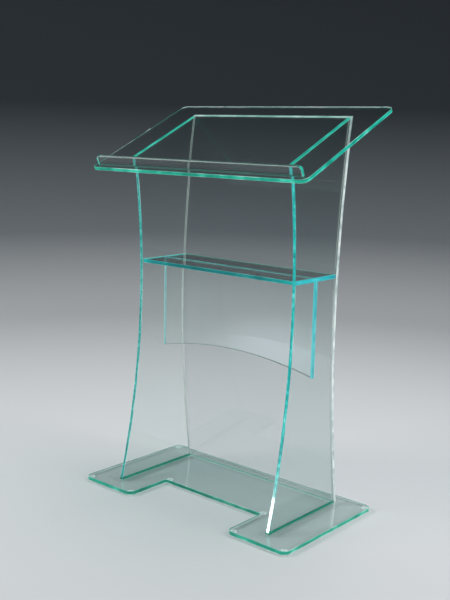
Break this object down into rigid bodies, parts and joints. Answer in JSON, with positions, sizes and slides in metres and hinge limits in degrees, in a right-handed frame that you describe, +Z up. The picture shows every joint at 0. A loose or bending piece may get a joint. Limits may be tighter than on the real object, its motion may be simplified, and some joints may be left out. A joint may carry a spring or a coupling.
{
  "type": "presentation lectern",
  "caption": "Free-standing clear acrylic lectern: sloping reading top with book stop, waisted side panels, bent front panel, inner shelf and notched base.",
  "frame": {"origin": "on the floor, under the middle of the lectern's outer box", "axes": "+Z up, +Y from the speaker towards the audience, +X to the speaker's right"},
  "size_m": [0.75, 0.41, 1.1065],
  "materials": {
    "clear_acrylic": "clear cast acrylic with green edges, faces as cast, edges flame polished",
    "clear_polyurethane": "moulded clear polyurethane, satin"
  },
  "bodies": {
    "root": {"base_plate": "clear_acrylic", "side_panel_left": "clear_acrylic", "side_panel_right": "clear_acrylic", "front_panel": "clear_acrylic", "reading_top": "clear_acrylic", "book_stop": "clear_acrylic", "shelf": "clear_acrylic", "shelf_stiffener": "clear_acrylic", "bumper_foot_outer_left": "clear_polyurethane", "bumper_foot_outer_right": "clear_polyurethane", "bumper_foot_inner_left": "clear_polyurethane", "bumper_foot_inner_right": "clear_polyurethane", "bumper_notch_left": "clear_polyurethane", "bumper_notch_right": "clear_polyurethane", "bumper_front_left": "clear_polyurethane", "bumper_front_right": "clear_polyurethane"}
  },
  "joints": []
}
